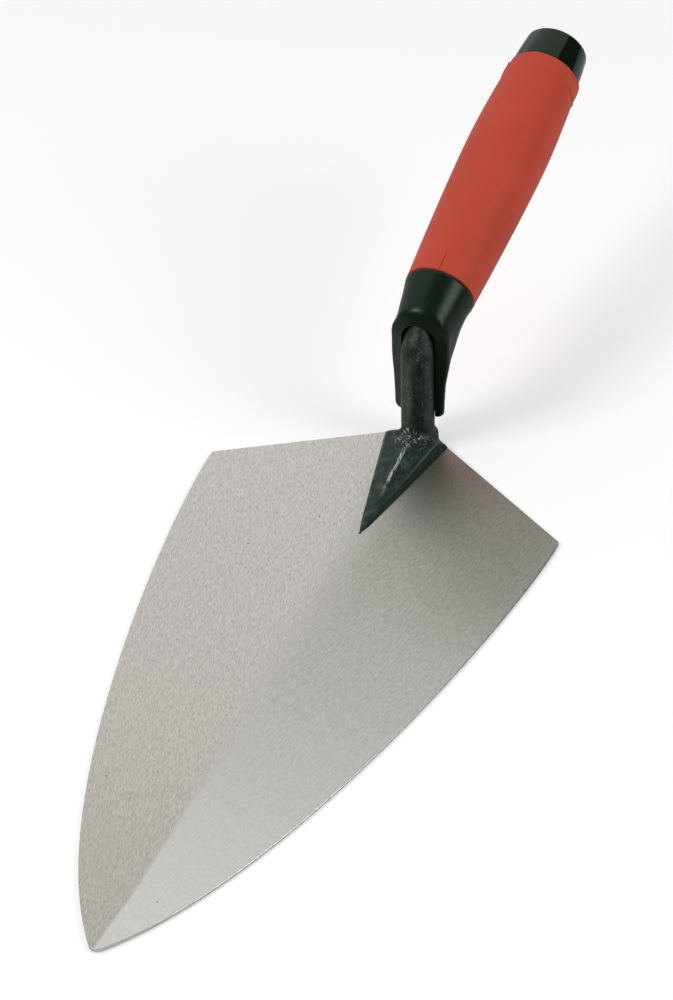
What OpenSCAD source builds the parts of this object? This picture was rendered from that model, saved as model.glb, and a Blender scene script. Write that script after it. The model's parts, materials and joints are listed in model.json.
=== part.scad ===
// Brick trowel. A flat blade forged in one piece with its shank and tang, and a moulded handle:
// a hard core with a finger guard, a soft grip sleeve around it and a hard cap on the butt.
// Millimetres. The blade lies on z = 0 with its toe along +X. The shank rises from the origin.

/* [Blade] */
// Length between the points where the straight edges at heel and toe would meet
blade_length = 277.5; // [240:0.1:320]
// Width across the heel corners
blade_width = 139.7; // [120:0.1:160]
// How far along the blade the heel corners are from the heel's point
heel_depth = 40.2; // [34:0.1:52]
// Distance from the heel's point to the shank's axis
heel_setback = 6; // [5:0.1:7]
// Angle between the centreline and either side where they reach the toe
toe_half_angle = 41; // [34:1:46]
// How long each side stays parallel behind the toe's curve, as a share of the side's length
side_hold = 0.14; // [0.05:0.01:0.25]
// How long the toe stays straight before the side's curve, as a share of the side's length
toe_hold = 0.29; // [0.15:0.01:0.35]
// Radius of the two heel corners
corner_r = 1.5; // [1:0.5:5]
// Radius of the toe
toe_r = 3; // [1:0.5:6]
// Thickness on the centreline at the heel
heel_thickness = 2.5; // [2:0.1:3]
// Thickness on the centreline at the toe
toe_thickness = 1.5; // [1.2:0.1:1.9]
// Thickness at the heel corners
edge_thickness = 0.9; // [0.7:0.1:1.5]

/* [Shank and tang] */
// Diameter of the shank
shank_d = 12.3; // [11:0.1:12.6]
// How far the shank leans back towards the handle, in degrees
shank_lean = 2.3; // [0:0.1:6]
// Height at which the shank's axis meets the handle's
lift = 48.5; // [44:0.5:60]
// Radius of the bend from the shank into the tang, on its centreline
bend_r = 11; // [10:0.5:13]
// Length of the tapered tang behind the bend
tang_length = 88; // [60:1:95]
// Width of the square tang at its root
tang_root = 8; // [6:0.5:8.5]
// Width of the square tang at its tip
tang_tip = 4; // [3:0.5:5]

/* [Foot] */
// How far the foot reaches along the blade in front of the shank's axis
foot_length = 56.6; // [40:0.1:80]
// Width of the foot across the heel
foot_width = 25; // [20:0.5:30]
// Radius of the foot's tip
foot_tip_r = 1; // [0.5:0.1:2]
// Height of the foot's crest at the shank's axis
crest_height = 9; // [7:0.1:11]
// Height of the foot's crest at its tip
crest_tip_height = 2.6; // [2.4:0.1:4]
// Slope of the foot's two flanks, in degrees
flank_slope = 26; // [15:1:28]
// Diameter of the round boss around the shank's root
boss_d = 16; // [15.5:0.1:20]
// Height at which the boss has narrowed to the shank
boss_top = 6.5; // [5:0.1:8]

/* [Handle] */
// Angle by which the handle rises away from the toe, in degrees
handle_rise = 14.7; // [8:0.1:22]
// Distance along the handle from the shank's axis to the grip
grip_start = 22.8; // [20:0.1:26]
// Length of the soft grip
grip_length = 110.8; // [105:0.1:130]
// Diameter of the grip where it meets the guard
grip_front_d = 27.3; // [26:0.1:29]
// Largest diameter of the grip
grip_swell_d = 32.1; // [30:0.1:36]
// Diameter of the grip where it meets the cap
grip_back_d = 27.9; // [26:0.1:30]
// Where the swell is, as a share of the grip's length
swell_place = 0.62; // [0.5:0.01:0.7]
// Diameter of the hard core inside the grip
core_d = 21; // [18:0.5:22]
// Length of the cap that shows behind the grip
cap_length = 15; // [10:0.1:18]
// Diameter of the cap against the grip
cap_d = 27.4; // [24:0.1:27.5]
// Diameter of the cap's end
cap_end_d = 25.1; // [20:0.1:27]

/* [Finger guard] */
// Diameter of the guard's shoulder, where the handle's and the shank's axes cross
shoulder_d = 24.2; // [23:0.1:25]
// Diameter of the neck between the shoulder and the collar
neck_d = 20; // [19:0.1:22]
// Diameter of the guard's collar where it meets the grip
collar_d = 26.8; // [25:0.1:27.2]
// Diameter of the guard's skirt at its bottom
skirt_d = 18.8; // [18:0.1:21]
// Height of the skirt's bottom above the blade
skirt_bottom = 14; // [13:0.1:20]
// Radius of the skirt's lower edge
skirt_edge_r = 3; // [1:0.1:3]
// Diameter of the web under the elbow where it meets the skirt
web_skirt_d = 21.5; // [19:0.1:22]
// Diameter of the web under the elbow where it meets the collar
web_collar_d = 24.6; // [20:0.1:25]
// How far behind the shank's axis the slot's two edges are
face_setback = 0.5; // [0.2:0.1:2]
// Width between the slot's two edges
slot_width = 13.2; // [13:0.1:14]
// Angle of the guard's bevelled front face away from straight across
face_bevel = 38; // [30:1:50]
// Clearance between the forging and the moulded core
forging_gap = 0.2; // [0.1:0.05:0.4]
// Clearance between the moulded pieces
moulding_gap = 0.05; // [0.02:0.01:0.1]

/* [Hidden] */
$fn = 96;
half_width = blade_width / 2;
heel_angle = atan(half_width / heel_depth);
heel_point = -heel_setback;
toe_point = heel_point + blade_length;
side_length = blade_length - heel_depth;
blade_taper = atan((heel_thickness - toe_thickness) / blade_length);
corner_crown = heel_thickness - heel_depth * tan(blade_taper) - edge_thickness;
blade_slope = atan(corner_crown / half_width);
crest_fall = atan((crest_height - crest_tip_height) / foot_length);
foot_centre = foot_length - foot_tip_r;
foot_half_angle = atan((foot_width / 2 - foot_tip_r) / foot_centre);
bend_turn = 90 - shank_lean - handle_rise;
bend_reach = bend_r * tan(bend_turn / 2);
cross_height = lift / cos(shank_lean);
grip_end = grip_start + grip_length;
swell_at = grip_start + swell_place * grip_length;
grip_edge_r = 0.8;
cap_edge_r = 1.8;
plug_d = 12;
plug_length = 12;
far = 400;

// ---- curves -----------------------------------------------------------------------------------

// Points on a circular arc, from angle a to angle b
function arc(centre, r, a, b, steps = 8) =
    [for (i = [0 : steps]) centre + r * [cos(a + (b - a) * i / steps), sin(a + (b - a) * i / steps)]];

// Points inside a cubic Bezier curve, without its two ends
function bezier(p, q, r, s, steps = 24) =
    [for (i = [1 : steps - 1]) let (t = i / steps, u = 1 - t)
        u * u * u * p + 3 * u * u * t * q + 3 * u * t * t * r + t * t * t * s];

// The same points below the centreline, in the opposite order
function mirrored(points) =
    [for (i = [len(points) - 1 : -1 : 0]) [points[i][0], -points[i][1]]];

// Radius of the grip at a distance along the handle
function grip_radius(along) =
    along < swell_at
    ? (grip_swell_d - (grip_swell_d - grip_front_d)
        * pow((swell_at - along) / (swell_at - grip_start), 1.5)) / 2
    : (grip_swell_d - (grip_swell_d - grip_back_d)
        * pow((along - swell_at) / (grip_end - swell_at), 1.8)) / 2;

// ---- placing ----------------------------------------------------------------------------------

// Puts children on the shank's axis, z along it
module along_shank() {
    rotate([0, -shank_lean, 0])
        children();
}

// Puts children on the handle's axis, z along it from the point where it meets the shank's
module along_handle() {
    translate([-lift * tan(shank_lean), 0, lift])
        rotate([0, handle_rise - 90, 0])
            children();
}

// Keeps what lies under a roof of two slopes, whose ridge starts above start and falls at fall
module under_roof(start, fall, slope) {
    intersection() {
        children();
        roof_side(start, fall, slope);
        roof_side(start, fall, -slope);
    }
}

module roof_side(start, fall, slope) {
    translate(start)
        rotate([0, fall, 0])
            rotate([-slope, 0, 0])
                translate([-far / 4, -far / 2, -far / 4])
                    cube([far, far, far / 4]);
}

// ---- blade, shank and tang --------------------------------------------------------------------

module blade_outline() {
    corner_y = half_width - corner_r;
    corner_x = heel_point + (corner_r + corner_y * cos(heel_angle)) / sin(heel_angle);
    corner = arc([corner_x, corner_y], corner_r, heel_angle + 90, 90);
    toe_x = toe_point - toe_r / sin(toe_half_angle);
    toe = arc([toe_x, 0], toe_r, 90 - toe_half_angle, 0);
    side_start = corner[len(corner) - 1];
    side_end = toe[0];
    side = bezier(
        side_start,
        side_start + side_hold * side_length * [1, 0],
        side_end + toe_hold * side_length * [-cos(toe_half_angle), sin(toe_half_angle)],
        side_end
    );
    half = concat([[heel_point, 0]], corner, side, toe);
    polygon(concat(half, mirrored([for (i = [1 : len(half) - 2]) half[i]])));
}

module blade() {
    under_roof([heel_point, 0, heel_thickness], blade_taper, blade_slope)
        linear_extrude(heel_thickness + 1)
            blade_outline();
}

// A wedge that widens backwards from a round tip
module foot_outline() {
    tip = arc([foot_centre, 0], foot_tip_r, 90 - foot_half_angle, 0);
    back = [2 * heel_point, tip[0][1] + (tip[0][0] - 2 * heel_point) * tan(foot_half_angle)];
    half = concat([back], tip);
    polygon(concat(half, mirrored([for (i = [0 : len(half) - 2]) half[i]])));
}

module foot() {
    under_roof([0, 0, crest_height], crest_fall, flank_slope)
        intersection() {
            linear_extrude(crest_height + 1)
                blade_outline();
            linear_extrude(crest_height + 1)
                foot_outline();
        }
    boss();
}

// The boss around the shank's root, cylindrical below and narrowing to the shank in a concave curve
module boss() {
    fillet_r = (boss_d - shank_d) / 2;
    fillet = arc([boss_d / 2, boss_top], fillet_r, 270, 180);
    rotate_extrude()
        polygon(concat([[0, 0], [boss_d / 2, 0]], fillet, [[0, boss_top]]));
}

// The round shank from inside the boss, and its bend, drawn larger by grow on every side
module shank(grow = 0) {
    r = shank_d / 2 + grow;
    straight = cross_height - bend_reach;
    along_shank() {
        translate([0, 0, heel_thickness])
            cylinder(h = straight - heel_thickness, r = r);
        translate([-bend_r, 0, straight])
            rotate([90, 0, 0])
                rotate_extrude(angle = bend_turn)
                    translate([bend_r, 0])
                        circle(r);
    }
}

// The tang, square and tapered, drawn larger by grow on every side
module tang(grow = 0) {
    along_handle()
        intersection() {
            tang_taper(grow);
            rotate([0, 0, 90])
                tang_taper(grow);
        }
}

module tang_taper(grow) {
    root_half = tang_root / 2 + grow;
    tip_half = tang_tip / 2 + grow;
    start = bend_reach - 1;
    end = bend_reach + tang_length + grow;
    rotate([90, 0, 0])
        linear_extrude(tang_root + 4, center = true)
            polygon([[-root_half, start], [root_half, start], [tip_half, end], [-tip_half, end]]);
}

module blade_forging() {
    color([0.66, 0.65, 0.62])
        union() {
            blade();
            foot();
            shank();
            tang();
        }
}

// ---- handle -----------------------------------------------------------------------------------

// The guard's skirt around the shank, rounded at the bottom and flaring up to the shoulder
module skirt() {
    steps = 12;
    height = cross_height - skirt_bottom - skirt_edge_r;
    flare = [for (i = [1 : steps])
        [skirt_d / 2 + (shoulder_d - skirt_d) / 2 * pow(i / steps, 1.5),
         skirt_bottom + skirt_edge_r + height * i / steps]];
    edge = arc([skirt_d / 2 - skirt_edge_r, skirt_bottom + skirt_edge_r], skirt_edge_r, 270, 360);
    along_shank()
        rotate_extrude()
            polygon(concat([[0, skirt_bottom]], edge, flare, [[0, cross_height]]));
}

// The guard's shoulder, its collar that widens to the grip, and the rod inside the grip
module collar_and_rod() {
    along_handle() {
        sphere(shoulder_d / 2);
        cylinder(h = grip_start - moulding_gap, d1 = neck_d, d2 = collar_d);
        cylinder(h = grip_end, d = core_d);
    }
}

// The web that fills the corner between the skirt and the collar
module web() {
    hull() {
        along_shank()
            translate([0, 0, cross_height - 14])
                cylinder(h = 1, d = web_skirt_d, $fn = 32);
        along_handle()
            translate([0, 0, 14])
                cylinder(h = 1, d = web_collar_d, $fn = 32);
    }
}

// Everything behind the guard's bevelled front face: a cone around the arch, and two planes below it
module behind_face() {
    slot_half = slot_width / 2;
    spread = far / 2 / tan(face_bevel);
    along_shank() {
        translate([-face_setback, 0, cross_height])
            rotate([0, -90, 0])
                cylinder(h = far / 2, r1 = slot_half, r2 = slot_half + spread);
        linear_extrude(cross_height)
            polygon([
                [-face_setback, -slot_half],
                [-face_setback, slot_half],
                [-face_setback - far / 2, slot_half + spread],
                [-face_setback - far / 2, -slot_half - spread]
            ]);
    }
}

// The blind hole in the butt that holds the cap's plug
module plug_hole() {
    along_handle()
        translate([0, 0, grip_end - plug_length - 1])
            cylinder(h = plug_length + 2, d = plug_d + 2 * moulding_gap);
}

module handle_core() {
    color([0.10, 0.10, 0.11])
        difference() {
            intersection() {
                union() {
                    skirt();
                    web();
                    collar_and_rod();
                }
                behind_face();
            }
            shank(forging_gap);
            tang(forging_gap);
            plug_hole();
        }
}

module grip_sleeve() {
    steps = 24;
    bore_r = core_d / 2 + moulding_gap;
    first = grip_start + grip_edge_r;
    last = grip_end - grip_edge_r;
    barrel = [for (i = [0 : steps])
        let (along = first + (last - first) * i / steps) [grip_radius(along), along]];
    front = [[bore_r, grip_start], [grip_front_d / 2 - grip_edge_r, grip_start]];
    back = [[grip_back_d / 2 - grip_edge_r, grip_end], [bore_r, grip_end]];
    color([0.72, 0.24, 0.18])
        along_handle()
            rotate_extrude()
                polygon(concat(front, barrel, back));
}

module end_cap() {
    start = grip_end + moulding_gap;
    end = grip_end + cap_length;
    edge = arc([cap_end_d / 2 - cap_edge_r, end - cap_edge_r], cap_edge_r, 0, 90);
    color([0.07, 0.07, 0.08])
        along_handle() {
            rotate_extrude()
                polygon(concat([[0, start], [cap_d / 2, start]], edge, [[0, end]]));
            translate([0, 0, grip_end - plug_length])
                cylinder(h = plug_length + 1, d = plug_d);
        }
}

blade_forging();
handle_core();
grip_sleeve();
end_cap();
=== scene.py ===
"""Brick trowel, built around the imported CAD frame. Lengths are in millimetres until a mesh is made."""

import json
import math

import bmesh
import bpy
import numpy as np
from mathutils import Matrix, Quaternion, Vector, noise


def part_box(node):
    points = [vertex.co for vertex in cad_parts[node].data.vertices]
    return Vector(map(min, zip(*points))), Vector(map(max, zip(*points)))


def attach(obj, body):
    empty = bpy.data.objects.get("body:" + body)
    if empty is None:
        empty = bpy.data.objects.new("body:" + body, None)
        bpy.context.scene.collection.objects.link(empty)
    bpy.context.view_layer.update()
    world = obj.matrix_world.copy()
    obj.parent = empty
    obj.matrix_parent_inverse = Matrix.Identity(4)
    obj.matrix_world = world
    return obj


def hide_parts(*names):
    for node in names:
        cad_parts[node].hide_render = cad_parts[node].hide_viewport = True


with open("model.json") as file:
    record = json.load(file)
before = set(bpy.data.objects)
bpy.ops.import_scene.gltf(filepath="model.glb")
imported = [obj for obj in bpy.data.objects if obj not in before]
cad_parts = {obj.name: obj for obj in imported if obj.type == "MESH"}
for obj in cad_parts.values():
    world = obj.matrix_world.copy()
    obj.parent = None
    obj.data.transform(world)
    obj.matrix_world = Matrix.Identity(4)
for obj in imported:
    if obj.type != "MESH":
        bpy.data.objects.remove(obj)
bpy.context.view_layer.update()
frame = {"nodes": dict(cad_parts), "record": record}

MM = 0.001
ACROSS = np.array([0.0, 1.0, 0.0])


# ---- the frame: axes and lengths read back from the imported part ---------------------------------


def node_points(name):
    """A CAD node's vertices."""
    mesh = frame["nodes"][name].data
    points = np.zeros(len(mesh.vertices) * 3)
    mesh.vertices.foreach_get("co", points)
    return points.reshape(-1, 3) / MM


def mount(name):
    """A mount's place and its axis."""
    found = next(m for m in frame["record"]["mounts"] if m["name"] == name)
    return np.array(found["pos_m"], float) / MM, np.array(found["axis"], float)


class Axis:
    """A straight line in the XZ plane. A point has a distance along it, above it and across it."""

    def __init__(self, start, direction):
        self.start = np.array(start, float)
        self.along = np.array(direction, float) / np.linalg.norm(direction)
        self.up = np.cross(ACROSS, self.along)

    def local(self, x, y, z):
        dx = x - self.start[0]
        dz = z - self.start[2]
        along = dx * self.along[0] + dz * self.along[2]
        up = dx * self.up[0] + dz * self.up[2]
        return along, up, y

    def world(self, along, up, across):
        along, up, across = np.broadcast_arrays(along, up, across)
        return (
            self.start
            + along[..., None] * self.along
            + up[..., None] * self.up
            + across[..., None] * ACROSS
        )

    def span(self, name):
        """How far along the line a CAD node starts and ends."""
        along = (node_points(name) - self.start) @ self.along
        return float(along.min()), float(along.max())


def crossing(a, b):
    """The distance along line a at which line b crosses it."""
    gap = b.start - a.start
    turn = a.along[0] * b.along[2] - a.along[2] * b.along[0]
    return (gap[0] * b.along[2] - gap[2] * b.along[0]) / turn


SHANK_LEAN = math.radians(2.3)
SHANK = Axis([0, 0, 0], [-math.sin(SHANK_LEAN), 0, math.cos(SHANK_LEAN)])
cap_end, handle_direction = mount("cap_end")
CROSS = crossing(SHANK, Axis(cap_end, handle_direction))
HANDLE = Axis(SHANK.world(CROSS, 0, 0), handle_direction)
TURN = math.acos(float(SHANK.along @ HANDLE.along))
GRIP_FRONT, GRIP_BACK = HANDLE.span("grip_sleeve")
CAP_BACK = HANDLE.span("end_cap")[1]
HEEL_SETBACK = 6.0
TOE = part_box("blade_forging")[1].x / MM
HALF_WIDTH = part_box("blade_forging")[1].y / MM

# ---- meshes -------------------------------------------------------------------------------------


def new_object(name, points, faces, sharp_angle=None):
    """A smooth-shaded mesh object, with its points given in millimetres."""
    mesh = bpy.data.meshes.new(name)
    mesh.from_pydata((np.asarray(points) * MM).tolist(), [], faces)
    mesh.validate()
    work = bmesh.new()
    work.from_mesh(mesh)
    bmesh.ops.remove_doubles(work, verts=work.verts, dist=0.0005 * MM)
    bmesh.ops.recalc_face_normals(work, faces=work.faces)
    work.to_mesh(mesh)
    work.free()
    mesh.polygons.foreach_set("use_smooth", [True] * len(mesh.polygons))
    if sharp_angle:
        mesh.set_sharp_from_angle(angle=math.radians(sharp_angle))
    made = bpy.data.objects.new(name, mesh)
    bpy.context.scene.collection.objects.link(made)
    return made


def apply_modifiers(made):
    """Replaces an object's mesh with its modified mesh."""
    graph = bpy.context.evaluated_depsgraph_get()
    mesh = bpy.data.meshes.new_from_object(made.evaluated_get(graph))
    made.modifiers.clear()
    made.data = mesh


def grid_faces(rows, columns, close_rows=False, close_columns=False):
    """Quads between the points of a grid that is stored row by row."""
    faces = []
    for i in range(rows if close_rows else rows - 1):
        for j in range(columns if close_columns else columns - 1):
            a = i * columns + j
            b = i * columns + (j + 1) % columns
            c = ((i + 1) % rows) * columns + (j + 1) % columns
            d = ((i + 1) % rows) * columns + j
            faces.append((a, b, c, d))
    return faces


def smooth_min(a, b, size):
    """The lesser of two fields, blended over a distance of size."""
    near = np.maximum(size - np.abs(a - b), 0.0) / size
    return np.minimum(a, b) - near * near * size / 4


def smooth_max(a, b, size):
    return -smooth_min(-a, -b, size)


def smooth_step(value, start, end):
    """0 before start, 1 after end, and a smooth rise between."""
    t = np.clip((value - start) / (end - start), 0.0, 1.0)
    return t * t * (3 - 2 * t)


def field_points(field, low, high, step):
    """Points and quads on the surface where a field is zero, one point for each grid cell it crosses."""
    axes = [np.arange(a, b + step, step) for a, b in zip(low, high)]
    values = field(*np.meshgrid(*axes, indexing="ij"))
    inside = values < 0
    cells = tuple(n - 1 for n in values.shape)
    total = np.zeros(cells + (3,))
    count = np.zeros(cells)
    quads = []
    for axis in range(3):
        lower = [slice(None)] * 3
        upper = [slice(None)] * 3
        lower[axis] = slice(0, -1)
        upper[axis] = slice(1, None)
        first = values[tuple(lower)]
        second = values[tuple(upper)]
        edge = np.argwhere(inside[tuple(lower)] != inside[tuple(upper)])
        at = tuple(edge.T)
        point = edge.astype(float)
        point[:, axis] += first[at] / (first[at] - second[at])
        corners = []
        for du, dv in ((-1, -1), (0, -1), (0, 0), (-1, 0)):
            cell = edge.copy()
            cell[:, (axis + 1) % 3] += du
            cell[:, (axis + 2) % 3] += dv
            np.add.at(total, tuple(cell.T), point)
            np.add.at(count, tuple(cell.T), 1)
            corners.append(cell)
        leaving = first[at] < 0
        quads.append((corners, leaving))
    used = count > 0
    number = np.full(cells, -1)
    number[used] = np.arange(used.sum())
    points = total[used] / count[used][:, None] * step + np.array([a[0] for a in axes])
    faces = []
    for corners, leaving in quads:
        ring = np.stack([number[tuple(c.T)] for c in corners], axis=1)
        ring[~leaving] = ring[~leaving][:, ::-1]
        faces += ring.tolist()
    return points, faces


def settle(field, points, step, rounds=4):
    """Moves points along the field's slope until they lie on its surface."""
    small = step / 10
    for _ in range(rounds):
        value = field(*points.T)
        slope = np.zeros_like(points)
        for axis in range(3):
            ahead = points.copy()
            ahead[:, axis] += small
            slope[:, axis] = (field(*ahead.T) - value) / small
        size = np.maximum((slope * slope).sum(axis=1), 0.05)
        move = -(value / size)[:, None] * slope
        length = np.maximum(np.linalg.norm(move, axis=1), 1e-9)
        points = points + move * np.minimum(1.0, 0.5 * step / length)[:, None]
    return points


def field_object(name, field, low, high, step):
    """An object whose surface is where a field is zero."""
    points, faces = field_points(field, low, high, step)
    return new_object(name, settle(field, points, step), faces)


def lathe_object(name, axis, along, radius, angles=None, sharp_angle=35):
    """A closed surface turned about an axis. radius is a list, or a grid with one row for each place."""
    angles = np.linspace(0, 2 * math.pi, 128, endpoint=False) if angles is None else angles
    along = np.asarray(along, float)[:, None] * np.ones(len(angles))
    radius = np.asarray(radius, float)
    radius = radius if radius.ndim == 2 else radius[:, None] * np.ones(len(angles))
    points = axis.world(along, radius * np.cos(angles), radius * np.sin(angles))
    faces = grid_faces(len(along), len(angles), close_rows=True, close_columns=True)
    return new_object(name, points.reshape(-1, 3), faces, sharp_angle)


# ---- the blade ----------------------------------------------------------------------------------

# The same values as the CAD part's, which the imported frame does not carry.
HEEL_DEPTH = 40.2
HEEL_ANGLE = math.atan2(HALF_WIDTH, HEEL_DEPTH)
TOE_HALF_ANGLE = math.radians(41)
TOE_R = 3.0
CORNER_R = 1.5
HEEL_THICKNESS = 2.5
TOE_THICKNESS = 1.5
EDGE_THICKNESS = 0.9
TOE_POINT = TOE - TOE_R + TOE_R / math.sin(TOE_HALF_ANGLE)
BLADE_LENGTH = TOE_POINT + HEEL_SETBACK
THINNING = (HEEL_THICKNESS - TOE_THICKNESS) / BLADE_LENGTH
SIDE_HOLD = 0.14
TOE_HOLD = 0.29
TOP_EDGE_R = 0.2
BOTTOM_EDGE_R = 0.3
BLADE_SLOPE = (HEEL_THICKNESS - HEEL_DEPTH * THINNING - EDGE_THICKNESS) / HALF_WIDTH


def arc(centre, radius, start, end, steps):
    angle = np.linspace(start, end, steps + 1)
    return np.stack([centre[0] + radius * np.cos(angle), centre[1] + radius * np.sin(angle)], axis=1)


def bezier(a, b, c, d, steps):
    t = np.linspace(0, 1, steps + 1)[:, None]
    return (1 - t) ** 3 * a + 3 * (1 - t) ** 2 * t * b + 3 * (1 - t) * t**2 * c + t**3 * d


def blade_outline():
    """Half the blade's outline, from the heel's point along one side to the toe."""
    corner_y = HALF_WIDTH - CORNER_R
    corner_x = -HEEL_SETBACK + (CORNER_R + corner_y * math.cos(HEEL_ANGLE)) / math.sin(HEEL_ANGLE)
    corner = arc((corner_x, corner_y), CORNER_R, HEEL_ANGLE + math.pi / 2, math.pi / 2, 8)
    toe = arc((TOE - TOE_R, 0), TOE_R, math.pi / 2 - TOE_HALF_ANGLE, 0, 10)
    side_length = BLADE_LENGTH - HEEL_DEPTH
    toe_pull = np.array([-math.cos(TOE_HALF_ANGLE), math.sin(TOE_HALF_ANGLE)])
    side = bezier(
        corner[-1],
        corner[-1] + SIDE_HOLD * side_length * np.array([1.0, 0.0]),
        toe[0] + TOE_HOLD * side_length * toe_pull,
        toe[0],
        110,
    )
    heel = np.linspace([-HEEL_SETBACK, 0.0], corner[0], 30)
    return np.concatenate([heel[:-1], corner[:-1], side[:-1], toe])


def blade_top(x, y):
    """Height of the blade's top: two flat flanks, meeting in a ridge that is crisp only near the toe."""
    softness = 0.3 + 14.0 * smooth_step(x, 200.0, 90.0)
    crown = np.sqrt(y * y + softness * softness) - softness
    return HEEL_THICKNESS - THINNING * (x + HEEL_SETBACK) - BLADE_SLOPE * crown


def blade_object():
    outline = blade_outline()
    forward = np.gradient(outline, axis=0)
    forward /= np.linalg.norm(forward, axis=1)[:, None]
    outward = np.stack([-forward[:, 1], forward[:, 0]], axis=1)
    inner = outline - outward * TOP_EDGE_R
    inner[:, 1] = np.maximum(inner[:, 1], 0)
    share = np.linspace(0, 1, 30) ** 1.8
    rings = []
    for (x, y), (ix, iy), (nx, ny) in zip(outline, inner, outward):
        top = [(ix, iy * s, float(blade_top(ix, iy * s))) for s in share]
        edge_z = top[-1][2]
        for step in (1, 2, 3, 4):
            angle = step * math.pi / 8
            out = TOP_EDGE_R * math.sin(angle) - TOP_EDGE_R
            top.append((x + nx * out, max(y + ny * out, 0), edge_z - TOP_EDGE_R * (1 - math.cos(angle))))
        for step in (0, 1, 2, 3):
            angle = step * math.pi / 6
            out = BOTTOM_EDGE_R * math.cos(angle) - BOTTOM_EDGE_R
            top.append((x + nx * out, max(y + ny * out, 0), BOTTOM_EDGE_R * (1 - math.sin(angle))))
        top.append((ix, 0.5 * iy, 0.0))
        top.append((ix, 0.0, 0.0))
        left = [(px, -py, pz) for px, py, pz in reversed(top[1:-1])]
        rings.append(top + left)
    points = np.array(rings).reshape(-1, 3)
    faces = grid_faces(len(rings), len(rings[0]), close_columns=True)
    return new_object("trowel_forging", points, faces)


# ---- the foot, shank and tang -------------------------------------------------------------------

# The foot, shank and guard were adjusted here after the CAD was packed, so they differ from it a little.
SHANK_R = 6.3
NARROWING = 0.9
BEND_R = 11.0
BEND_REACH = BEND_R * math.tan(TURN / 2)
FOOT_LENGTH = 57.0
FOOT_HALF_WIDTH = 12.1
FOOT_SKEW = 0.018
BAND_AT = 0.84
CREST_TIP = 2.35
CREST_RISE = 6.6
SHOULDER_BASE = 2.1
SHOULDER_SHARE = 0.48
BOSS_R = 7.3
BOSS_OFFSET = 0.6
TANG_LENGTH = 88.0


def bent_rod(x, y, z, grow=0.0):
    """The shank and its bend, along which it narrows to the tang."""
    along, front, across = SHANK.local(x, y, z)
    bend_start = CROSS - BEND_REACH
    past = np.maximum(along - bend_start, 0)
    straight = np.sqrt(front**2 + across**2 + past**2) - SHANK_R
    out = np.hypot(along - bend_start, front + BEND_R)
    angle = np.arctan2(along - bend_start, front + BEND_R)
    bend = np.sqrt((out - BEND_R) ** 2 + across**2) - (SHANK_R - NARROWING * smooth_step(angle, 0.1, 1.0))
    bend = np.where((angle > 0) & (angle < TURN), bend, 1e3)
    return np.minimum(straight, bend) - grow


def tang_field(x, y, z, gap=0.0):
    """The square tang, which tapers to its tip."""
    along, up, across = HANDLE.local(x, y, z)
    half = 4.0 - 2.0 * np.clip((along - BEND_REACH) / TANG_LENGTH, 0, 1) + gap
    side = smooth_max(np.abs(up) - half, np.abs(across) - half, 1.0)
    side = smooth_max(side, along - BEND_REACH - TANG_LENGTH - gap, 1.0)
    return np.maximum(side, BEND_REACH - 4 - along)


def foot_field(x, y, z):
    """The wedge on the blade: a falling crest, dished flanks, and a steep band beside each flank."""
    past_heel = -(x + HEEL_SETBACK) * math.sin(HEEL_ANGLE) + np.abs(y) * math.cos(HEEL_ANGLE)
    y = y - FOOT_SKEW * x
    reach = np.clip(x / FOOT_LENGTH, -0.3, 1.2)
    half = FOOT_HALF_WIDTH * (1 - reach) + 0.05
    crest = CREST_TIP + CREST_RISE * np.clip(1 - reach, 0, 1.3)
    shoulder = SHOULDER_BASE + SHOULDER_SHARE * (crest - SHOULDER_BASE)
    share = (np.sqrt(y * y + 1.7) - 1.3) / np.maximum(half, 0.3)
    flank = shoulder + (crest - shoulder) * np.clip(1 - share / BAND_AT, 0, 1) ** 1.35
    band = shoulder - (shoulder - 1.8) * (share - BAND_AT) / (1 - BAND_AT)
    body = smooth_max((z - flank) * 0.8, (z - band) * 0.7, 0.4)
    body = smooth_max(body, (z - 3.0 + 0.75 * past_heel) * 0.8, 1.2)
    body = smooth_max(body, past_heel - 0.15, 0.6)
    return np.maximum(np.maximum(body, 0.3 - z), x - FOOT_LENGTH - 1)


def scale_field(x, y, z):
    """The whole black part of the forging."""
    shank = smooth_min(bent_rod(x, y, z), tang_field(x, y, z), 2.0)
    boss = smooth_max(np.hypot(x, y - BOSS_OFFSET) - BOSS_R, z - 5.4, 1.2)
    body = smooth_min(shank, boss, 1.6)
    body = smooth_min(body, foot_field(x, y, z), 1.2)
    return np.maximum(body, 0.25 - z)


def roughen(made, scales, seed):
    """Moves each point along its normal by smooth noise. scales lists pairs of size and height."""
    mesh = made.data
    places = np.zeros(len(mesh.vertices) * 3)
    normals = np.zeros(len(mesh.vertices) * 3)
    mesh.vertices.foreach_get("co", places)
    mesh.vertices.foreach_get("normal", normals)
    places = places.reshape(-1, 3)
    for size, height in scales:
        sampled = [noise.noise(Vector(p) + Vector((seed, 0, 0))) for p in places / (size * MM)]
        places = places + np.array(sampled)[:, None] * normals.reshape(-1, 3) * height * MM
    mesh.vertices.foreach_set("co", places.ravel())
    mesh.update()


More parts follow.
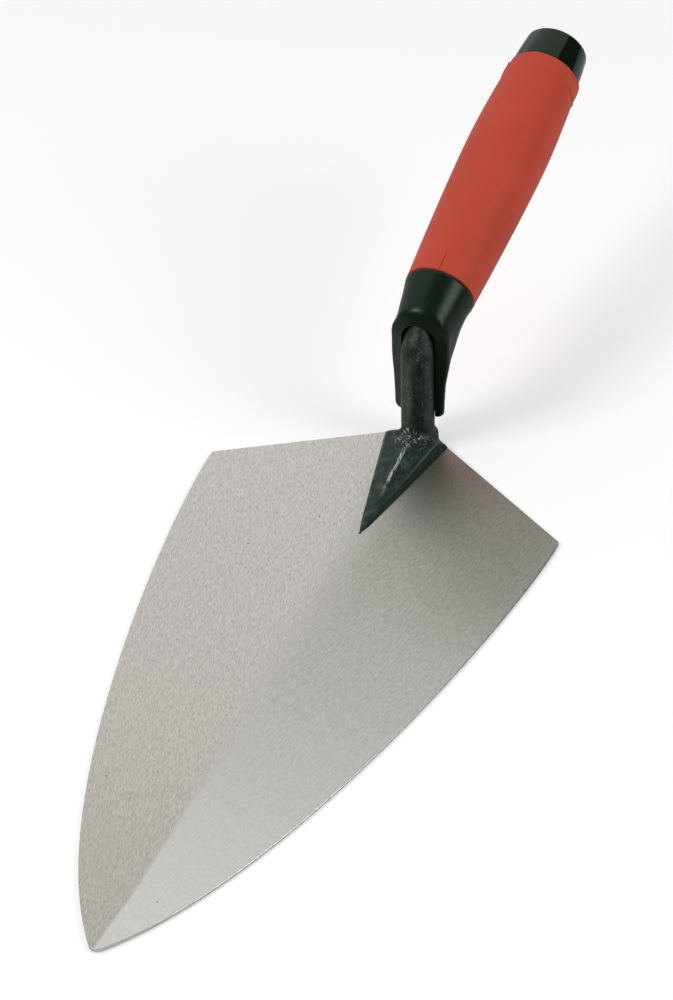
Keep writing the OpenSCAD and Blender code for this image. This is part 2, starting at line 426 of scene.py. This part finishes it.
def forging_object():
    """The ground blade, with the black foot, shank and tang joined to it as one solid."""
    blade = blade_object()
    tang_end = HANDLE.world(BEND_REACH + TANG_LENGTH, 0, 0)
    body = field_object(
        "scale_body",
        scale_field,
        (tang_end[0] - 6, -FOOT_HALF_WIDTH - 4, -1.2),
        (FOOT_LENGTH + 4, FOOT_HALF_WIDTH + 4, tang_end[2] + 8),
        0.5,
    )
    roughen(body, ((4.0, 0.10), (1.3, 0.07)), 3.0)
    steel = surface_material("ground_steel", ground_steel)
    scale = surface_material("forging_scale", forging_scale)
    for made in (blade, body):
        made.data.materials.append(steel)
        made.data.materials.append(scale)
    body.data.polygons.foreach_set("material_index", [1] * len(body.data.polygons))
    join = blade.modifiers.new("join", "BOOLEAN")
    join.operation = "UNION"
    join.solver = "EXACT"
    join.object = body
    apply_modifiers(blade)
    bpy.data.objects.remove(body)
    blade.data.set_sharp_from_angle(angle=math.radians(40))
    return blade


# ---- the handle ---------------------------------------------------------------------------------

SKIRT_BOTTOM = 13.2
SLOT_HALF = 6.45
ARCH_AT = CROSS - 1.2
SLOT_DEPTH = 4.5
FACE_SETBACK = 0.4
FACE_BEVEL = math.radians(22)
CORE_R = 10.5
PLUG_R = 6.0
SEAM_OFFSET = 0.4
PLUG_LENGTH = 12.0


def web_field(x, y, z):
    """The web that fills the corner between the skirt and the collar."""
    low = SHANK.world(CROSS - 14, 0, 0)
    across = HANDLE.world(14, -3, 0) - low
    place = np.stack([x - low[0], y - low[1], z - low[2]], axis=-1)
    share = np.clip(place @ across / (across @ across), 0, 1)
    return np.linalg.norm(place - share[..., None] * across, axis=-1) - (10.8 + 0.9 * share)


def guard_outside(x, y, z):
    """The guard before its slot and face are cut: a skirt, and a widening collar flattened on top."""
    along, front, across = SHANK.local(x, y, z)
    flare = smooth_step(along, SKIRT_BOTTOM, CROSS - 1.5)
    skirt = np.hypot(front, across + 0.35) - (10.3 + 1.45 * flare)
    skirt = smooth_max(skirt, SKIRT_BOTTOM - along, 2.4)
    skirt = smooth_max(skirt, along - CROSS - 2, 4.0)
    along, up, across = HANDLE.local(x, y, z)
    widening = np.clip((along - 2) / (GRIP_FRONT - 3.0), 0, 1)
    collar_r = 10.2 + 3.4 * widening**1.25
    flattening = np.where(up > 0, collar_r / (collar_r - 1.3 * (1 - widening)), 1.0)
    collar = np.hypot(up * flattening, across) - collar_r
    collar = smooth_max(collar, along - GRIP_FRONT + 0.12, 0.8)
    collar = smooth_max(collar, -along - 4, 2.0)
    return smooth_min(smooth_min(skirt, collar, 3.5), web_field(x, y, z), 2.0)


def core_field(x, y, z):
    """The hard moulding: the guard with its slot, and the rod inside the grip."""
    along, front, across = SHANK.local(x, y, z)
    out = np.hypot(np.maximum(along - ARCH_AT, 0), across)
    face = front + FACE_SETBACK + (out - SLOT_HALF) * math.tan(FACE_BEVEL)
    body = smooth_max(guard_outside(x, y, z), face * math.cos(FACE_BEVEL), 1.3)
    along, up, across = HANDLE.local(x, y, z)
    rod = np.hypot(up, across) - CORE_R
    rod = np.maximum(np.maximum(rod, GRIP_FRONT - 3 - along), along - GRIP_BACK)
    body = np.minimum(body, rod)
    slot = smooth_max(out - SLOT_HALF, -front - SLOT_DEPTH, 2.0)
    body = smooth_max(body, -np.minimum(slot, bent_rod(x, y, z, 0.25)), 0.5)
    body = np.maximum(body, -tang_field(x, y, z, 0.3))
    plug = np.maximum(np.hypot(up, across) - PLUG_R - 0.1, GRIP_BACK - PLUG_LENGTH - 1 - along)
    return np.maximum(body, -plug)


def core_object():
    back = HANDLE.world(GRIP_BACK, 0, 0)
    made = field_object(
        "guard_core",
        core_field,
        (back[0] - 6, -16, SKIRT_BOTTOM - 2),
        (12, 16, back[2] + 14),
        0.5,
    )
    made.data.materials.append(surface_material("hard_black", hard_black))
    return made


SWELL_AT = GRIP_FRONT + 0.62 * (GRIP_BACK - GRIP_FRONT)
GRIP_R_FRONT = 13.6
GRIP_R_SWELL = 16.05
GRIP_R_BACK = 13.95
SLIT_LENGTH = 10.8
SLIT_TURN = math.radians(4.5)
OVAL_AT = GRIP_BACK - 4.4
OVAL_LENGTH = 4.0
OVAL_WIDTH = 8.6


def grip_radius(along):
    front = GRIP_R_SWELL - (GRIP_R_SWELL - GRIP_R_FRONT) * (
        np.clip((SWELL_AT - along) / (SWELL_AT - GRIP_FRONT), 0, 1) ** 1.5
    )
    back = GRIP_R_SWELL - (GRIP_R_SWELL - GRIP_R_BACK) * (
        np.clip((along - SWELL_AT) / (GRIP_BACK - SWELL_AT), 0, 1) ** 1.8
    )
    return np.where(along < SWELL_AT, front, back)


def wrap(angle):
    """The same angle, between minus and plus half a turn."""
    return np.remainder(angle + math.pi, 2 * math.pi) - math.pi


def grip_details(along, angle, radius):
    """Height of the mould seam's slit on top, and of a blank raised oval on each side near the butt."""
    start = GRIP_FRONT + 0.3
    slit = smooth_step(along, start, start + 0.8) * smooth_step(along, start + SLIT_LENGTH, start + 5)
    height = -0.55 * slit * np.exp(-((radius * wrap(angle - SLIT_TURN) / 0.17) ** 2))
    for centre in (math.pi / 2, -math.pi / 2):
        out = np.hypot((along - OVAL_AT) / OVAL_LENGTH, radius * wrap(angle - centre) / OVAL_WIDTH)
        rise = 0.10 + 0.30 * smooth_step(along, OVAL_AT - OVAL_LENGTH, OVAL_AT + 3.6)
        height = height + rise * smooth_step(out, 1.03, 0.95)
        height = height + 0.34 * np.exp(-(((out - 0.93) / 0.05) ** 2))
    return height


def grip_object():
    spread = np.linspace(-math.pi, math.pi, 288, endpoint=False)
    angles = spread - 0.86 * np.sin(spread) + 0.30 * np.sin(2 * spread)
    edge_r = 0.45
    turn = np.linspace(0, math.pi / 2, 7)
    front_edge = GRIP_FRONT + 0.06 + edge_r * (1 - np.cos(turn))
    back_edge = GRIP_BACK - edge_r * (1 - np.cos(turn[::-1]))
    middle = np.linspace(front_edge[-1], back_edge[0], 330)[1:-1]
    drop = edge_r * (1 - np.sin(turn))
    along = np.concatenate([front_edge, middle, back_edge])
    sunk = np.concatenate([drop, np.zeros(len(middle)), drop[::-1]])
    radius = grip_radius(along)
    lip = 0.08 * np.exp(-(((along - GRIP_FRONT - 0.9) / 0.6) ** 2))
    lip = lip + 0.08 * np.exp(-(((along - GRIP_BACK + 0.8) / 0.6) ** 2))
    outer = (radius - sunk + lip)[:, None] + grip_details(along[:, None], angles[None, :], 14.5)
    bore = np.full((2, len(angles)), CORE_R + 0.05)
    places = np.concatenate([along, [along[-1], along[0]]])
    made = lathe_object("grip", HANDLE, places, np.concatenate([outer, bore]), angles)
    made.data.materials.append(surface_material("soft_red", soft_red))
    return made


def cap_object():
    start = GRIP_BACK + 0.08
    base_r = 13.7
    end_r = 12.55
    edge_r = 2.0
    turn = np.linspace(0, math.pi / 2, 10)
    foot = np.linspace(0, math.pi / 2, 4)
    side = np.linspace(0.06, 1, 14)
    wall_end = CAP_BACK - edge_r
    along = [start - PLUG_LENGTH, start - PLUG_LENGTH, start, *(start + 0.3 * np.sin(foot))]
    radius = [0.001, PLUG_R, PLUG_R, *(base_r - 0.3 * np.cos(foot))]
    along += list(start + (wall_end - start) * side)
    radius += list(base_r + (end_r - base_r) * side + 0.12 * np.sin(math.pi * side))
    along += list(wall_end + edge_r * np.sin(turn[1:]))
    radius += list(end_r - edge_r + edge_r * np.cos(turn[1:]))
    flat = np.linspace(1, 0, 8)[1:]
    along += list(CAP_BACK - 0.15 * (1 - flat**2))
    radius += list((end_r - edge_r) * flat + 0.001)
    made = lathe_object("butt_cap", HANDLE, along, radius)
    made.data.materials.append(surface_material("gloss_black", gloss_black))
    return made


# ---- materials ----------------------------------------------------------------------------------


class Nodes:
    """Adds nodes to a tree. Any input that is given a socket instead of a value is linked to it."""

    def __init__(self, tree):
        self.tree = tree
        self.coordinates = self.add("ShaderNodeTexCoord")
        self.place = self.coordinates.outputs["Object"]

    def set(self, node, inputs):
        for name, value in inputs.items():
            if isinstance(value, bpy.types.NodeSocket):
                self.tree.links.new(value, node.inputs[name])
            else:
                node.inputs[name].default_value = value

    def add(self, kind, inputs=None, **settings):
        node = self.tree.nodes.new(kind)
        for name, value in settings.items():
            setattr(node, name, value)
        self.set(node, inputs or {})
        return node

    def math(self, operation, a, b=0.0, clamp=False):
        inputs = {0: a, 1: b}
        return self.add("ShaderNodeMath", inputs, operation=operation, use_clamp=clamp).outputs[0]

    def product(self, *values):
        result = values[0]
        for value in values[1:]:
            result = self.math("MULTIPLY", result, value)
        return result

    def step(self, value, start, end):
        """0 before start and 1 after end, or the reverse when start is the greater."""
        low, high = min(start, end), max(start, end)
        inputs = {"Value": value, "From Min": low, "From Max": high}
        if start > end:
            inputs.update({"To Min": 1.0, "To Max": 0.0})
        return self.add("ShaderNodeMapRange", inputs, interpolation_type="SMOOTHSTEP").outputs[0]

    def noise(self, length, width=None, height=None, turn=0.0, detail=2.0, rough=0.5):
        """Noise whose features are length by width by height millimetres, turned about Z."""
        scale = Vector((length, width or length, height or length)) * MM
        stretched = {"Vector": self.place, "Rotation": (0, 0, turn), "Scale": scale}
        place = self.add("ShaderNodeMapping", stretched, vector_type="TEXTURE").outputs[0]
        inputs = {"Vector": place, "Scale": 1.0, "Detail": detail, "Roughness": rough}
        return self.add("ShaderNodeTexNoise", inputs).outputs[0]

    def ramp(self, value, *stops):
        """Maps a value through stops, each a position and a grey level or colour."""
        node = self.add("ShaderNodeValToRGB", {"Fac": value})
        ramp = node.color_ramp
        while len(ramp.elements) < len(stops):
            ramp.elements.new(0.5)
        for element, (position, colour) in zip(ramp.elements, stops):
            element.position = position
            element.color = (*(colour if isinstance(colour, tuple) else (colour,) * 3), 1)
        return node.outputs["Color"]

    def mix(self, share, a, b, blend="MIX"):
        inputs = {0: share, 6: a, 7: b}
        inputs = {key: (*value, 1) if isinstance(value, tuple) else value for key, value in inputs.items()}
        return self.add("ShaderNodeMix", inputs, data_type="RGBA", blend_type=blend).outputs[2]

    def bump(self, height, distance, strength=1.0):
        inputs = {"Height": height, "Distance": distance * MM, "Strength": strength}
        return self.add("ShaderNodeBump", inputs).outputs[0]

    def xyz(self):
        """The place's coordinates in millimetres."""
        parts = self.add("ShaderNodeSeparateXYZ", {0: self.place})
        return [self.math("DIVIDE", part, MM) for part in parts.outputs]


def surface_material(name, build):
    """A material whose Principled surface gets the inputs that build returns."""
    material = bpy.data.materials.new(name)
    material.use_nodes = True
    nodes = Nodes(material.node_tree)
    nodes.set(material.node_tree.nodes["Principled BSDF"], build(nodes))
    return material


GRIND_TURNS = (math.radians(15), math.radians(-8.3))
GREEN_TINT = (0.76, 1.0, 0.80, 1)


def ground_steel(n):
    """Satin ground steel: fine marks in a different direction on each flank, with a few dark pits.

    left_shade, right_shade and heel_corner paint broad reflections into the base colour.
    """
    x, y, _ = n.xyz()
    fine = [n.noise(2.2, 0.42, 50, turn, 2.0, 0.6) for turn in GRIND_TURNS]
    coarse = [n.noise(7.0, 1.2, 50, turn, 3.0, 0.6) for turn in GRIND_TURNS]
    crisp = n.step(x, 110, 220)
    ridge_width = n.math("SUBTRACT", 12.0, n.math("MULTIPLY", crisp, 11.2))
    ridge_at = n.math("MULTIPLY", n.step(x, 269, 240), 1.4)
    right = n.step(n.math("DIVIDE", n.math("SUBTRACT", y, ridge_at), ridge_width), -1, 1)
    fine = n.mix(right, fine[0], fine[1])
    coarse = n.mix(right, coarse[0], coarse[1])
    marks = n.math("ADD", n.math("MULTIPLY", fine, 0.75), n.math("MULTIPLY", coarse, 0.25))
    towards_toe = n.math("DIVIDE", x, TOE)
    left_shade = n.ramp(
        towards_toe,
        (0.1, (1.14, 1.115, 1.08)),
        (0.6, (1.05, 1.03, 0.965)),
        (1.0, (0.90, 0.885, 0.79)),
    )
    right_shade = n.ramp(
        towards_toe,
        (0.05, (0.60, 0.62, 0.54)),
        (0.35, (0.86, 0.855, 0.80)),
        (0.55, (0.97, 0.96, 0.92)),
        (0.92, (1.22, 1.215, 1.18)),
    )
    heel_corner = n.product(n.step(y, 15, 60), n.step(x, 120, 50), 0.45)
    right_shade = n.mix(heel_corner, right_shade, (0.38, 0.40, 0.34))
    colour = n.mix(1.0, n.mix(right, left_shade, right_shade), (0.76, 0.745, 0.72), "MULTIPLY")
    calm = n.product(right, n.step(x, 60, 240), 0.6)
    grain = n.mix(calm, n.ramp(marks, (0.38, 0.74), (0.62, 1.05)), (0.93, 0.93, 0.93))
    colour = n.mix(1.0, colour, grain, "MULTIPLY")
    nicks = n.math("MULTIPLY", n.step(n.noise(2.2, 0.45, 50, GRIND_TURNS[0]), 0.63, 0.70), 0.42)
    colour = n.mix(n.math("MULTIPLY", nicks, n.math("SUBTRACT", 1.0, right)), colour, (0.1, 0.1, 0.09))
    pits = n.step(n.noise(1.9, detail=1.0), 0.80, 0.83)
    colour = n.mix(pits, colour, (0.05, 0.05, 0.045))
    across = [(-math.sin(turn), math.cos(turn), 0) for turn in GRIND_TURNS]
    tangent = n.add("ShaderNodeMix", {0: right, 4: across[0], 5: across[1]}, data_type="VECTOR").outputs[1]
    return {
        "Metallic": 1.0,
        "Base Color": colour,
        "Roughness": n.ramp(marks, (0.3, 0.40), (0.7, 0.32)),
        "Anisotropic": 0.5,
        "Tangent": tangent,
        "Normal": n.bump(marks, 0.04, 0.6),
    }


def worn_scale(n, x, y, z, off_crest):
    """Where the scale has rubbed through: along the crest, at the shank's root, and a few specks."""
    crest = n.product(n.step(off_crest, 0.9, 0.3), n.step(x, 40, 26), n.step(x, 12, 15))
    root = n.math("ADD", n.math("POWER", n.math("SUBTRACT", x, 7.5), 2.0), n.math("POWER", y, 2.0))
    root = n.product(n.step(root, 44.0, 16.0), n.step(z, 14, 10), n.step(n.noise(2.6), 0.42, 0.56))
    dabs = n.step(n.noise(3.0, 0.5, 1.0, 0.1, detail=4.0, rough=0.75), 0.46, 0.52)
    lines = n.math("ABSOLUTE", n.math("SUBTRACT", n.noise(2.6, 1.3, 2.6, 0.8, detail=2.0), 0.5))
    rubbed = n.math("MAXIMUM", n.product(crest, dabs), n.product(root, n.step(lines, 0.03, 0.012)))
    specks = n.step(n.noise(0.45, 0.45, 1.3, detail=2.0), 0.64, 0.70)
    specks = n.product(specks, n.step(n.noise(5.0), 0.45, 0.6), n.step(x, 30, 18), 0.5)
    return n.math("MAXIMUM", rubbed, specks)


def forging_scale(n):
    """Black forging scale: greenish, uneven, with worn places; painted shade darkens the band beside the
    foot on its right side, and a painted highlight lightens that band's top edge.
    """
    x, y, z = n.xyz()
    off_crest = n.math("ABSOLUTE", n.math("SUBTRACT", y, n.math("MULTIPLY", x, FOOT_SKEW)))
    cloud = n.noise(4.0, detail=4.0, rough=0.6)
    grain = n.noise(0.7, detail=3.0, rough=0.7)
    streak = n.noise(0.8, 0.8, 9.0, detail=3.0)
    dark, middle, light = (0.008, 0.016, 0.011), (0.019, 0.031, 0.024), (0.055, 0.073, 0.062)
    shade = n.math("ADD", n.math("MULTIPLY", streak, 0.45), cloud)
    colour = n.ramp(shade, (0.58, dark), (0.74, middle), (0.92, light))
    remaining = n.math("SUBTRACT", 1.0, n.math("DIVIDE", x, FOOT_LENGTH))
    half_width = n.math("MAXIMUM", n.math("MULTIPLY", remaining, FOOT_HALF_WIDTH), 0.3)
    share = n.math("DIVIDE", off_crest, half_width)
    # The lower right side of the foot, where the painted shade and the painted highlight go.
    painted_light_side = n.product(n.step(z, 8.0, 6.5), n.step(y, 0.0, 0.6))
    band = n.product(n.step(share, BAND_AT, BAND_AT + 0.05), painted_light_side)
    from_edge = n.math("ABSOLUTE", n.math("SUBTRACT", share, BAND_AT - 0.02))
    edge = n.product(n.step(from_edge, 0.06, 0.01), painted_light_side, n.step(x, 34, 14), n.step(x, 2, 6))
    # Painted shade: the band beside the foot is darkened to near black on the right side only.
    colour = n.mix(band, colour, (0.005, 0.010, 0.007))
    # Painted highlight: a lighter line along the top edge of that band, on the right side near the heel.
    colour = n.mix(n.math("MULTIPLY", edge, 0.7), colour, (0.09, 0.13, 0.11))
    worn = worn_scale(n, x, y, z, off_crest)
    colour = n.mix(worn, colour, (0.68, 0.70, 0.66))
    height = n.math("ADD", n.math("ADD", grain, cloud), n.math("MULTIPLY", streak, 0.7))
    return {
        "Metallic": n.math("ADD", n.math("MULTIPLY", worn, 0.6), 0.15),
        "Base Color": colour,
        "Roughness": n.ramp(grain, (0.3, 0.34), (0.7, 0.56)),
        "Specular IOR Level": 0.4,
        "Specular Tint": GREEN_TINT,
        "Normal": n.bump(height, 0.16, 0.6),
    }


def hard_black(n):
    """Semi-gloss moulded plastic with a fine texture and a faint parting line along its top."""
    _, y, z = n.xyz()
    cloud = n.noise(11.0, detail=3.0)
    off_seam = n.math("ABSOLUTE", n.math("SUBTRACT", y, SEAM_OFFSET))
    seam = n.product(n.step(off_seam, 0.35, 0.0), n.step(z, 57, 59), n.step(n.noise(2.5), 0.35, 0.6))
    height = n.math("ADD", n.math("MULTIPLY", n.noise(0.4), 0.02), n.math("MULTIPLY", seam, 0.05))
    return {
        "Base Color": n.ramp(cloud, (0.3, (0.004, 0.011, 0.006)), (0.7, (0.007, 0.015, 0.009))),
        "Roughness": n.ramp(cloud, (0.3, 0.28), (0.7, 0.36)),
        "Specular IOR Level": 0.27,
        "Specular Tint": GREEN_TINT,
        "Normal": n.bump(height, 1.0),
    }


def soft_red(n):
    """Matte soft-touch rubber."""
    cloud = n.noise(22.0, detail=3.0)
    grain = n.noise(0.35)
    return {
        "Base Color": n.ramp(cloud, (0.3, (0.62, 0.067, 0.030)), (0.7, (0.67, 0.077, 0.037))),
        "Roughness": n.ramp(grain, (0.3, 0.52), (0.7, 0.62)),
        "Specular IOR Level": 0.28,
        "Sheen Weight": 0.06,
        "Normal": n.bump(grain, 0.03, 0.5),
    }


def gloss_black(n):
    """Polished plastic, very slightly wavy."""
    cloud = n.noise(8.0, detail=3.0)
    return {
        "Base Color": n.ramp(cloud, (0.3, (0.001, 0.005, 0.0015)), (0.7, (0.002, 0.007, 0.003))),
        "Roughness": n.ramp(cloud, (0.3, 0.04), (0.7, 0.08)),
        "Specular Tint": GREEN_TINT,
        "Normal": n.bump(n.noise(1.5), 0.004),
    }


# ---- stage --------------------------------------------------------------------------------------


def floor_paint(n):
    """White, and a little brighter to the camera than to the trowel."""
    seen = n.add("ShaderNodeLightPath").outputs["Is Camera Ray"]
    return {
        "Base Color": (0.70, 0.70, 0.70, 1),
        "Roughness": 0.8,
        "Specular IOR Level": 0.1,
        "Emission Color": (1, 1, 1, 1),
        "Emission Strength": n.math("MULTIPLY", seen, 0.45),
    }


def floor():
    size = 3000.0
    corners = [(-size, -size, -0.25), (size, -size, -0.25), (size, size, -0.25), (-size, size, -0.25)]
    made = new_object("floor", corners, [(0, 1, 2, 3)])
    made.data.materials.append(surface_material("floor_paint", floor_paint))


def soft_light(name, direction, distance, size, power):
    """A square area light that looks at the trowel from a direction."""
    data = bpy.data.lights.new(name, "AREA")
    data.shape = "RECTANGLE"
    data.size, data.size_y = size
    data.energy = power
    made = bpy.data.objects.new(name, data)
    made.location = Vector(direction).normalized() * distance + Vector((0.08, 0, 0.03))
    made.rotation_euler = Vector(direction).to_track_quat("Z", "Y").to_euler()
    bpy.context.scene.collection.objects.link(made)


def studio():
    """Two soft lights, and a dome that is bright on one side of the trowel and dark on the other.

    The camera sees the whole dome pale, whatever light it gives.
    """
    world = bpy.data.worlds.new("studio")
    world.use_nodes = True
    n = Nodes(world.node_tree)
    towards = {0: n.coordinates.outputs["Generated"], 1: Vector((-0.62, -0.45, 0.64)).normalized()}
    facing = n.add("ShaderNodeVectorMath", towards, operation="DOT_PRODUCT").outputs["Value"]
    glow = n.math("ADD", n.math("MULTIPLY", n.step(facing, 0.58, 0.66), 0.64), 0.07)
    seen = n.add("ShaderNodeLightPath").outputs["Is Camera Ray"]
    glow = n.math("MAXIMUM", glow, n.math("MULTIPLY", seen, 0.9))
    n.set(world.node_tree.nodes["Background"], {"Color": (0.98, 0.99, 1.0, 1), "Strength": glow})
    bpy.context.scene.world = world
    soft_light("key", (0.44, -0.55, 0.71), 1.3, (0.45, 0.45), 7.0)
    soft_light("side", (-0.10, 0.83, 0.55), 1.4, (0.7, 0.7), 7.5)


CAMERA_TURNS = tuple(math.radians(angle) for angle in (115.63, 41.51, -2.83))
CAMERA_TARGET = Vector((65.7, -3.8, 23.9))
CAMERA_DISTANCE = 1150
CAMERA_LENS = 115.2


def camera():
    """Looks down on the blade from the right of its toe, rolled slightly."""
    azimuth, elevation, roll = CAMERA_TURNS
    level = math.cos(elevation)
    back = Vector((math.sin(azimuth) * level, -math.cos(azimuth) * level, math.sin(elevation)))
    data = bpy.data.cameras.new("camera")
    data.lens = CAMERA_LENS
    data.sensor_width = 36.0
    made = bpy.data.objects.new("camera", data)
    made.location = (CAMERA_TARGET + back * CAMERA_DISTANCE) * MM
    made.rotation_euler = (back.to_track_quat("Z", "Y") @ Quaternion((0, 0, 1), roll)).to_euler()
    bpy.context.scene.collection.objects.link(made)
    bpy.context.scene.camera = made


# ---- the trowel ---------------------------------------------------------------------------------

pieces = (
    (forging_object(), "blade_forging", "forged_steel"),
    (core_object(), "handle_core", "hard_black"),
    (grip_object(), "grip_sleeve", "soft_red"),
    (cap_object(), "end_cap", "gloss_black"),
)
for piece, node, slot in pieces:
    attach(piece, "root")
    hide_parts(node)

floor()
studio()
camera()
bpy.context.scene.view_settings.view_transform = "Standard"
